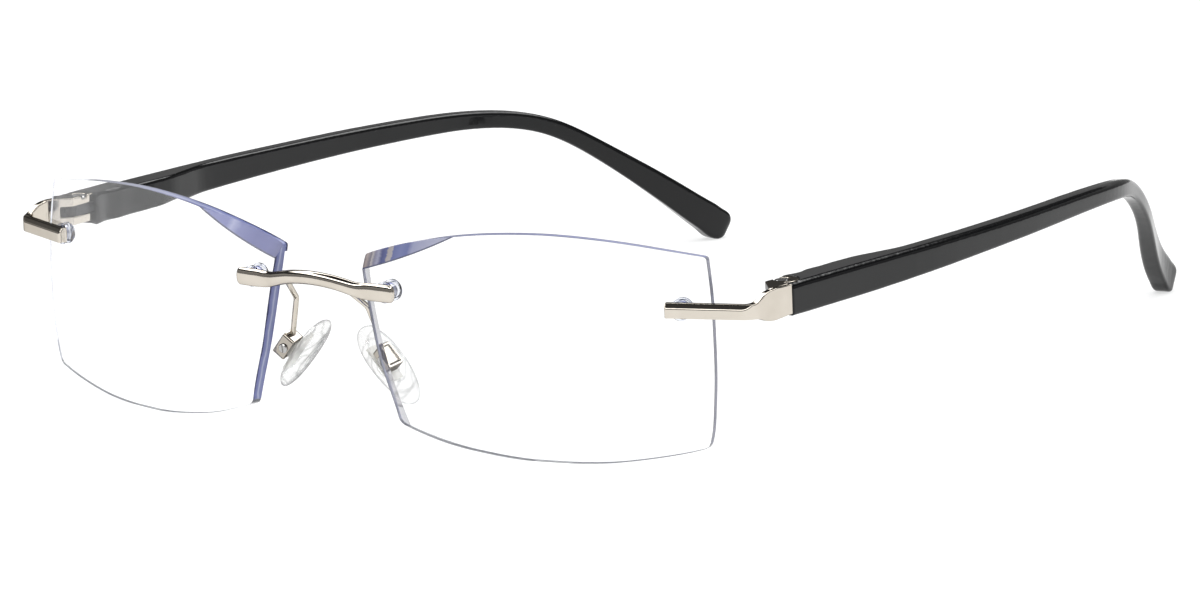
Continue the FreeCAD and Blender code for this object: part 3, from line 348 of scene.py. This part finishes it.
    # except at a slant, where the plain glass stays
    glance = m.n("ShaderNodeLayerWeight")
    glance.inputs["Blend"].default_value = 0.5
    m.l(m.ramp(glance.outputs["Facing"], [(0.0, (0.5,) * 3), (0.165, (0.5,) * 3), (0.225, (0.0,) * 3), (1.0, (0.0,) * 3)]), clear.inputs["Fac"])
    m.l(glass.outputs[0], clear.inputs[1])
    m.l(coated.outputs[0], clear.inputs[2])
    # how solid the tint reads: strong on the nose side and top, lines only elsewhere
    loud = m.math("SUBTRACT", 0.95, m.math("MULTIPLY", pale, 0.08 if sign > 0 else 0.42))
    solid = m.math("MULTIPLY", is_rim, m.math("ADD", m.math("MULTIPLY", loud, m.math("SUBTRACT", 1.0, quiet)),
                                              m.math("MULTIPLY", quiet, m.math("ADD", m.math("MULTIPLY", line, 0.25), 0.7))))
    solid = m.math("ADD", solid, m.math("MULTIPLY", is_facet, 0.93), clamp=True)
    mix = m.n("ShaderNodeMixShader")
    m.l(solid, mix.inputs["Fac"])
    m.l(clear.outputs[0], mix.inputs[1])
    m.l(p.outputs[0], mix.inputs[2])
    return m.done(m.see_through_shadow(mix.outputs[0]))


def clear_plastic():
    m = Mat("clear_plastic")
    gl = m.n("ShaderNodeBsdfGlass")
    fine = m.noise(2500.0, 3.0, 0.6)
    lw = m.n("ShaderNodeLayerWeight")
    lw.inputs["Blend"].default_value = 0.5
    # painted shade: the glass colour turns dark blue-grey where the surface turns away, drawing dark outlines
    mix = m.n("ShaderNodeMixRGB")
    mix.inputs["Color2"].default_value = (0.30, 0.32, 0.42, 1)
    m.l(m.ramp(lw.outputs["Facing"], [(0.0, (0.0,) * 3), (0.5, (0.1,) * 3), (0.85, (0.85,) * 3), (1.0, (1.0,) * 3)]), mix.inputs["Fac"])
    m.l(m.ramp(fine, [(0.3, (0.9, 0.91, 0.93)), (0.8, (0.97, 0.975, 0.99))]), mix.inputs["Color1"])
    m.l(mix.outputs["Color"], gl.inputs["Color"])
    gl.inputs["IOR"].default_value = 1.35
    m.l(m.ramp(fine, [(0.3, (0.02,) * 3), (0.8, (0.07,) * 3)]), gl.inputs["Roughness"])
    return m.done(m.see_through_shadow(gl.outputs[0]))


def silicone():
    m = Mat("silicone")
    cloud = m.noise(900.0, 3.0, 0.55)
    gl = m.n("ShaderNodeBsdfGlass")
    m.l(m.ramp(cloud, [(0.3, (0.93, 0.93, 0.92)), (0.8, (0.985, 0.985, 0.98))]), gl.inputs["Color"])
    gl.inputs["IOR"].default_value = 1.41
    m.l(m.ramp(cloud, [(0.3, (0.02,) * 3), (0.8, (0.06,) * 3)]), gl.inputs["Roughness"])
    ripple = m.noise(330.0, 1.5, 0.45)
    wavy = m.bump(ripple, 0.85, 0.0011)
    m.l(wavy, gl.inputs["Normal"])
    tr = m.n("ShaderNodeBsdfTransparent")
    lw = m.n("ShaderNodeLayerWeight")
    lw.inputs["Blend"].default_value = 0.5
    m.l(wavy, lw.inputs["Normal"])
    # painted shade: the see-through colour darkens where the surface turns away, drawing dark outlines
    painted_outline_shade = m.ramp(lw.outputs["Facing"], [(0.0, (0.985, 0.985, 0.98)), (0.35, (0.97, 0.97, 0.968)), (0.6, (0.88, 0.88, 0.88)),
                                         (0.8, (0.60, 0.60, 0.605)), (1.0, (0.34, 0.34, 0.35))])
    # faint moulded rings round the middle of the pad, painted as dark lines in the see-through colour
    tc = m.n("ShaderNodeTexCoord")
    off = m.n("ShaderNodeVectorMath", operation="SUBTRACT")
    off.inputs[1].default_value = (0.5, 0.5, 0.5)
    m.l(tc.outputs["Generated"], off.inputs[0])
    dist = m.n("ShaderNodeVectorMath", operation="LENGTH")
    m.l(off.outputs["Vector"], dist.inputs[0])
    r = m.math("ADD", dist.outputs["Value"], m.math("MULTIPLY", m.math("SUBTRACT", ripple, 0.5), 0.16))
    rings = m.ramp(r, [(0.0, (1.0,) * 3), (0.17, (0.97,) * 3), (0.20, (0.70,) * 3), (0.23, (1.0,) * 3), (0.31, (0.98,) * 3),
                       (0.345, (0.72,) * 3), (0.375, (1.0,) * 3), (0.50, (1.0,) * 3), (0.535, (0.74,) * 3), (0.56, (1.0,) * 3)])
    both = m.n("ShaderNodeMixRGB")
    both.blend_type = "MULTIPLY"
    both.inputs["Fac"].default_value = 1.0
    m.l(painted_outline_shade, both.inputs["Color1"])
    m.l(rings, both.inputs["Color2"])
    m.l(both.outputs["Color"], tr.inputs["Color"])
    mix = m.n("ShaderNodeMixShader")
    m.l(m.ramp(lw.outputs["Facing"], [(0.0, (0.08,) * 3), (0.5, (0.14,) * 3), (0.9, (0.4,) * 3)]), mix.inputs["Fac"])
    m.l(tr.outputs[0], mix.inputs[1])
    m.l(gl.outputs[0], mix.inputs[2])
    return m.done(m.see_through_shadow(mix.outputs[0], (0.95, 0.95, 0.95, 1)))


def pad_core():
    m = Mat("pad_core")
    p = m.n("ShaderNodeBsdfPrincipled")
    cloud = m.noise(1500.0, 3.0, 0.6)
    m.l(m.ramp(cloud, [(0.3, (0.74, 0.73, 0.70)), (0.8, (0.86, 0.855, 0.83))]), p.inputs["Base Color"])
    p.inputs["Roughness"].default_value = 0.3
    p.inputs["Transmission Weight"].default_value = 0.55
    p.inputs["IOR"].default_value = 1.5
    return m.done(m.see_through_shadow(p.outputs[0], (0.8, 0.8, 0.79, 1)))


def floor_white():
    """A pale sweep lit from below as well, so shadows stay faint."""
    m = Mat("floor_white")
    p = m.n("ShaderNodeBsdfDiffuse")
    grain = m.noise(60.0, 3.0, 0.6)
    m.l(m.ramp(grain, [(0.3, (0.35, 0.35, 0.35)), (0.8, (0.36, 0.36, 0.36))]), p.inputs["Color"])
    em = m.n("ShaderNodeEmission")
    em.inputs["Color"].default_value = (0.995, 1.0, 1.0, 1)
    em.inputs["Strength"].default_value = 0.66
    add = m.n("ShaderNodeAddShader")
    m.l(p.outputs[0], add.inputs[0])
    m.l(em.outputs[0], add.inputs[1])
    return m.done(add.outputs[0])


MATS = {
    "polished_silver": polished_silver(), "screw_steel": screw_steel(), "black_gloss": black_gloss(),
    "black_steel": black_steel(), "clear_plastic": clear_plastic(), "silicone": silicone(), "pad_core": pad_core(),
    "lens_left": lens_clear(1, "left"), "lens_right": lens_clear(-1, "right"),
}


def paint(ob, mat):
    ob.data.materials.clear()
    ob.data.materials.append(mat)


slots = {s["node"]: s["material_slot"] for s in frame["record"]["subparts"]}
for name, ob in N.items():
    key = slots[name]
    if key == "lens_clear":
        key = "lens_left" if name.startswith("left") else "lens_right"
    paint(ob, MATS[key])

# ------------------------------------------------------------------ nose pads
PAD_RINGS = [(0.18, -1.265), (0.34, -1.255), (0.46, -1.235), (0.50, -1.225), (0.525, -1.165), (0.575, -1.145), (0.60, -1.165),
             (0.66, -1.13), (0.76, -1.03), (0.86, -0.85), (0.93, -0.62), (0.972, -0.34), (0.985, -0.05), (0.972, 0.22),
             (0.95, 0.46), (0.91, 0.7), (0.86, 0.9), (0.80, 1.06), (0.745, 1.18), (0.705, 1.245), (0.668, 1.25), (0.64, 1.2),
             (0.622, 1.06), (0.60, 0.985), (0.50, 0.965), (0.47, 1.01), (0.435, 1.01), (0.41, 0.965), (0.2, 0.955)]


def nose_pad(side):
    sign = 1 if side == "left" else -1
    c = Vector((8.2, 4.4 - 73.26, 11.2))
    e_long = Vector((-0.66, -0.06, 0.75)).normalized()
    e_wide = Vector((0.12, 0.97, 0.19))
    e_wide = (e_wide - e_long * e_wide.dot(e_long)).normalized()
    e_out = e_wide.cross(e_long).normalized()
    a, b = 7.1, 3.3
    segs = 80
    bm = bmesh.new()

    def put(x, y, h):
        p = c - e_long * x + e_wide * y + e_out * h
        return bm.verts.new((p.x * sign * MM, p.y * MM, p.z * MM))

    rings = []
    for k, h in PAD_RINGS:
        ring = []
        for i in range(segs):
            t = 2 * math.pi * i / segs
            cs, sn = math.cos(t), math.sin(t)
            # inner details keep an even margin from the rim
            ax = a * k if k > 0.62 else a * k - 0.25 * (1 - k)
            x = ax * math.copysign(abs(cs) ** 0.92, cs)
            y = b * k * math.copysign(abs(sn) ** 0.88, sn) * (1.0 - 0.10 * cs)
            sway = 0.10 * (x / a) ** 2
            ring.append(put(x, y, h * 0.98 + sway * (0.5 if h < 0 else 0.0)))
        rings.append(ring)
    first = put(0, 0, -1.27 * 0.98)
    last = put(0, 0, 0.955 * 0.98)
    for r0, r1 in zip(rings, rings[1:]):
        for i in range(segs):
            j = (i + 1) % segs
            bm.faces.new((r0[i], r0[j], r1[j], r1[i]))
    for i in range(segs):
        j = (i + 1) % segs
        bm.faces.new((first, rings[0][j], rings[0][i]))
        bm.faces.new((last, rings[-1][i], rings[-1][j]))
    bmesh.ops.recalc_face_normals(bm, faces=bm.faces[:])
    for f in bm.faces:
        f.smooth = True
    me = bpy.data.meshes.new(side + "_nose_pad_silicone")
    bm.to_mesh(me)
    bm.free()
    ob = bpy.data.objects.new(side + "_nose_pad_silicone", me)
    scene.collection.objects.link(ob)
    sub = ob.modifiers.new("round", "SUBSURF")
    sub.levels = sub.render_levels = 1
    ob.data.materials.append(MATS["silicone"])
    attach(ob, side + "_pad")
    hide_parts(side + "_nose_pad")
    return ob


for sd in ("left", "right"):
    nose_pad(sd)

# ------------------------------------------------------------------ rounded metal
def skin(ob, voxel, passes):
    """Works in millimetres: one closed skin over the mesh, then smoothing that rounds its edges."""
    me = ob.data
    for v in me.vertices:
        v.co *= 1000.0
    rm = ob.modifiers.new("skin", "REMESH")
    rm.mode = "VOXEL"
    rm.voxel_size = voxel
    rm.adaptivity = 0.0
    rm.use_smooth_shade = True
    sm = ob.modifiers.new("round", "SMOOTH")
    sm.factor = 0.5
    sm.iterations = passes
    bpy.context.view_layer.update()
    dg = bpy.context.evaluated_depsgraph_get()
    new = bpy.data.meshes.new_from_object(ob.evaluated_get(dg))
    ob.modifiers.clear()
    for v in new.vertices:
        v.co *= MM
    new.update()
    new.name = ob.name
    ob.data = new
    for f in new.polygons:
        f.use_smooth = True
    return ob


def rounded(node, body, slot, voxel, passes, mat=None):
    src = N[node]
    me = bpy.data.meshes.new(node + "_cast")
    me.from_pydata([tuple(v.co) for v in src.data.vertices], [], [tuple(f.vertices) for f in src.data.polygons])
    ob = bpy.data.objects.new(node + "_cast", me)
    scene.collection.objects.link(ob)
    skin(ob, voxel, passes)
    paint(ob, mat or MATS[slot])
    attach(ob, body)
    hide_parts(node)
    return ob


# painted shade: the cups get a darker copy of the polished silver, standing in for the darker reflections they show
CUP_METAL_PAINTED_DARK = polished_silver("cup_silver_painted_dark", 0.66)
for sd in ("left", "right"):
    rounded(sd + "_endpiece", "front", "polished_silver", 0.07, 14)
    rounded(sd + "_pad_box", "front", "polished_silver", 0.05, 26, CUP_METAL_PAINTED_DARK)
    rounded(sd + "_temple", sd + "_temple", "black_gloss", 0.17, 4)


BRIDGE = [(0.0, -3.36, 24.76, 2.1, 1.8, 2.05), (3.4, -3.23, 24.56, 2.1, 1.8, 2.05), (5.8, -2.93, 24.14, 2.12, 1.7, 2.1),
          (7.6, -2.705, 23.73, 2.2, 1.55, 2.2), (9.0, -2.50, 23.52, 2.4, 1.4, 2.3), (10.4, -2.44, 23.5, 2.62, 1.36, 2.4),
          (12.8, -2.404, 23.5, 2.66, 1.36, 2.4), (14.95, -2.285, 23.5, 2.6, 1.3, 2.4)]


def catmull(table, x):
    """The row of the table at x, by a smooth curve through its rows."""
    n = len(table)
    for i in range(n - 1):
        if x <= table[i + 1][0] or i == n - 2:
            a, b = table[i], table[i + 1]
            t = max(0.0, min(1.0, (x - a[0]) / (b[0] - a[0])))
            out = []
            for k in range(1, len(a)):
                if i > 0:
                    m0 = (b[k] - table[i - 1][k]) / (b[0] - table[i - 1][0]) * (b[0] - a[0])
                else:
                    m0 = 0.0
                if i < n - 2:
                    m1 = (table[i + 2][k] - a[k]) / (table[i + 2][0] - a[0]) * (b[0] - a[0])
                else:
                    m1 = b[k] - a[k]
                t2, t3 = t * t, t * t * t
                out.append((2 * t3 - 3 * t2 + 1) * a[k] + (t3 - 2 * t2 + t) * m0 + (3 * t2 - 2 * t3) * b[k] + (t3 - t2) * m1)
            return out
    return list(table[-1][1:])


def make_bridge():
    y0 = 73.26
    xs = [-14.95 + 29.9 * i / 150 for i in range(151)]
    for e in (0.03, 0.09, 0.18, 0.3, 0.45):
        xs += [14.95 - e, -14.95 + e]
    xs = sorted(xs)
    bm = bmesh.new()
    rings = []
    segs = 40

    def centre(x):
        y, z, h, d, e = catmull(BRIDGE, abs(x))
        return Vector((x, y - y0, z)), h, d, e

    for x in xs:
        c, h, d, e = centre(x)
        a, _, _, _ = centre(x - 0.05)
        b, _, _, _ = centre(x + 0.05)
        t = (b - a).normalized()
        side = t.cross(Vector((0, 0, 1))).normalized()
        up = side.cross(t).normalized()
        u = max(0.0, (abs(x) - 14.3) / 0.65)
        close = max(0.04, (1 - min(1.0, u) ** 2.3)) ** (1 / 2.3)
        ring = []
        for i in range(segs):
            w = 2 * math.pi * i / segs
            cs, sn = math.cos(w), math.sin(w)
            px = d / 2 * close * math.copysign(abs(cs) ** (2 / e), cs)
            pz = h / 2 * close * math.copysign(abs(sn) ** (2 / e), sn)
            ring.append(bm.verts.new((c + side * px + up * pz) * MM))
        rings.append(ring)
    for r0, r1 in zip(rings, rings[1:]):
        for i in range(segs):
            j = (i + 1) % segs
            bm.faces.new((r0[i], r1[i], r1[j], r0[j]))
    bm.faces.new(rings[0])
    bm.faces.new(list(reversed(rings[-1])))
    # the two posts that go back through the lenses
    for sign in (1, -1):
        an = Vector((0.0553 * sign, -0.9985, 0)).normalized()
        p0 = Vector((12.772 * sign, -1.805 - y0, 23.5)) + an * 0.4
        lo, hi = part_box(("left" if sign > 0 else "right") + "_nasal_sleeve")
        end = hi.y * 1000.0 - 0.45
        length = (end - p0.y) / -an.y
        cross = an.cross(Vector((0, 0, 1))).normalized()
        prev = None
        first = None
        for k, r in ((0.0, 0.5), (0.1, 0.55), (length - 0.12, 0.55), (length, 0.42)):
            ring = [bm.verts.new((p0 - an * k + cross * (r * math.cos(2 * math.pi * i / 28))
                                  + Vector((0, 0, 1)) * (r * math.sin(2 * math.pi * i / 28))) * MM) for i in range(28)]
            if prev:
                for i in range(28):
                    j = (i + 1) % 28
                    bm.faces.new((prev[i], ring[i], ring[j], prev[j]))
            else:
                first = ring
            prev = ring
        bm.faces.new(first)
        bm.faces.new(list(reversed(prev)))
    bmesh.ops.recalc_face_normals(bm, faces=bm.faces[:])
    me = bpy.data.meshes.new("bridge_cast")
    bm.to_mesh(me)
    bm.free()
    ob = bpy.data.objects.new("bridge_cast", me)
    scene.collection.objects.link(ob)
    skin(ob, 0.055, 5)
    paint(ob, MATS["polished_silver"])
    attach(ob, "front")
    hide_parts("bridge")


make_bridge()

# ------------------------------------------------------------------ safety bevel along the lens bottoms, drawn as a thin tube of painted grey
def painted_grey_bevel():
    m = Mat("painted_grey_bevel")
    p = m.n("ShaderNodeBsdfPrincipled")
    grain = m.noise(800.0, 3.0, 0.5)
    # painted shade: an opaque grey standing in for the dark line the clear bevel shows
    m.l(m.ramp(grain, [(0.3, (0.20, 0.205, 0.225)), (0.8, (0.27, 0.275, 0.29))]), p.inputs["Base Color"])
    p.inputs["Roughness"].default_value = 0.4
    return m.done(p.outputs[0])


BEVEL = painted_grey_bevel()


def bevel_line(side, sign):
    phi = math.radians(12.3)
    opt = Vector((sign * math.sin(phi), -math.cos(phi), 0.0))
    src = bmesh.new()
    src.from_mesh(N[side + "_lens"].data)
    bmesh.ops.remove_doubles(src, verts=src.verts[:], dist=2e-6)
    src.normal_update()
    bm = bmesh.new()
    for way in (1, -1):
        pts = {}
        for e in src.edges:
            if len(e.link_faces) != 2:
                continue
            a, b = (f.normal.dot(opt) * way for f in e.link_faces)
            if max(a, b) < 0.93 or min(a, b) > 0.6:
                continue
            if max(v.co.z for v in e.verts) > 0.0034:
                continue
            for v in e.verts:
                pts[v.index] = v.co.copy()
        line = sorted(pts.values(), key=lambda c: c.x)
        keep = []
        for c in line:
            if not keep or (c - keep[-1]).length > 0.00025:
                keep.append(c)
        n = len(keep)
        if n < 8:
            continue
        prev = None
        for i, c in enumerate(keep):
            t = (keep[min(n - 1, i + 1)] - keep[max(0, i - 1)]).normalized()
            u = t.cross(opt).normalized()
            w = u.cross(t).normalized()
            ends = min(1.0, 0.25 + min(i, n - 1 - i) / 5.0)
            r = 0.00006 * ends
            mid = c.copy()
            mid.z = max(mid.z, 0.0) + 0.00007
            ring = [bm.verts.new(mid + u * (r * math.cos(math.pi * k / 4)) + w * (r * math.sin(math.pi * k / 4))) for k in range(8)]
            if prev:
                for k in range(8):
                    j = (k + 1) % 8
                    bm.faces.new((prev[k], ring[k], ring[j], prev[j]))
            else:
                bm.faces.new(ring)
            prev = ring
        bm.faces.new(list(reversed(prev)))
    src.free()
    bmesh.ops.recalc_face_normals(bm, faces=bm.faces[:])
    me = bpy.data.meshes.new(side + "_lens_bevel")
    bm.to_mesh(me)
    count = len(bm.verts)
    bm.free()
    if not count:
        return
    for f in me.polygons:
        f.use_smooth = True
    ob = bpy.data.objects.new(side + "_lens_bevel", me)
    scene.collection.objects.link(ob)
    paint(ob, BEVEL)
    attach(ob, "front")


for sd, sg in (("left", 1), ("right", -1)):
    bevel_line(sd, sg)

# ------------------------------------------------------------------ floor and light
bm = bmesh.new()
bmesh.ops.create_grid(bm, x_segments=4, y_segments=4, size=4.0)
me = bpy.data.meshes.new("floor")
bm.to_mesh(me)
bm.free()
floor = bpy.data.objects.new("floor", me)
scene.collection.objects.link(floor)
paint(floor, floor_white())


def area(name, pos, aim, size, watts, colour=(1, 1, 1)):
    li = bpy.data.lights.new(name, "AREA")
    li.shape = "RECTANGLE"
    li.size, li.size_y = size
    li.energy = watts
    li.color = colour
    ob = bpy.data.objects.new(name, li)
    ob.location = pos
    ob.rotation_euler = (Vector(aim) - Vector(pos)).to_track_quat("-Z", "Y").to_euler()
    scene.collection.objects.link(ob)
    return ob


key = area("key_top", (0.1, 0.2, 1.6), (0, 0, 0), (1.6, 1.2), 16.0)
key.visible_glossy = False

world = bpy.data.worlds.new("studio")
scene.world = world
world.use_nodes = True
wt = world.node_tree
wt.nodes.clear()
wo = wt.nodes.new("ShaderNodeOutputWorld")
bg = wt.nodes.new("ShaderNodeBackground")
tc = wt.nodes.new("ShaderNodeTexCoord")
sep = wt.nodes.new("ShaderNodeSeparateXYZ")
rp = wt.nodes.new("ShaderNodeValToRGB")
wt.links.new(tc.outputs["Generated"], sep.inputs[0])
wt.links.new(sep.outputs["Z"], rp.inputs["Fac"])
els = rp.color_ramp.elements
for i, (p, v) in enumerate([(0.0, 0.24), (0.25, 0.22), (0.33, 0.45), (0.38, 0.05), (0.58, 0.03), (0.65, 1.0), (0.775, 1.0), (0.82, 0.06), (1.0, 0.01)]):
    e = els[i] if i < 2 else els.new(p)
    e.position = p
    e.color = (v, v, v, 1)
wt.links.new(rp.outputs["Color"], bg.inputs["Color"])
# a thin bright band round the room, for crisp highlight lines
band = wt.nodes.new("ShaderNodeValToRGB")
be = band.color_ramp.elements
for i, (p, v) in enumerate([(0.0, 0.0), (0.62, 0.0), (0.66, 1.0), (0.77, 1.0), (0.80, 0.0)]):
    e = be[i] if i < 2 else be.new(p)
    e.position = p
    e.color = (v, v, v, 1)
add = wt.nodes.new("ShaderNodeMath")
add.operation = "MULTIPLY_ADD"
add.inputs[1].default_value = 3.6
add.inputs[2].default_value = 1.0
wt.links.new(sep.outputs["Z"], band.inputs["Fac"])
wt.links.new(band.outputs["Color"], add.inputs[0])
wt.links.new(add.outputs[0], bg.inputs["Strength"])
wt.links.new(bg.outputs[0], wo.inputs["Surface"])
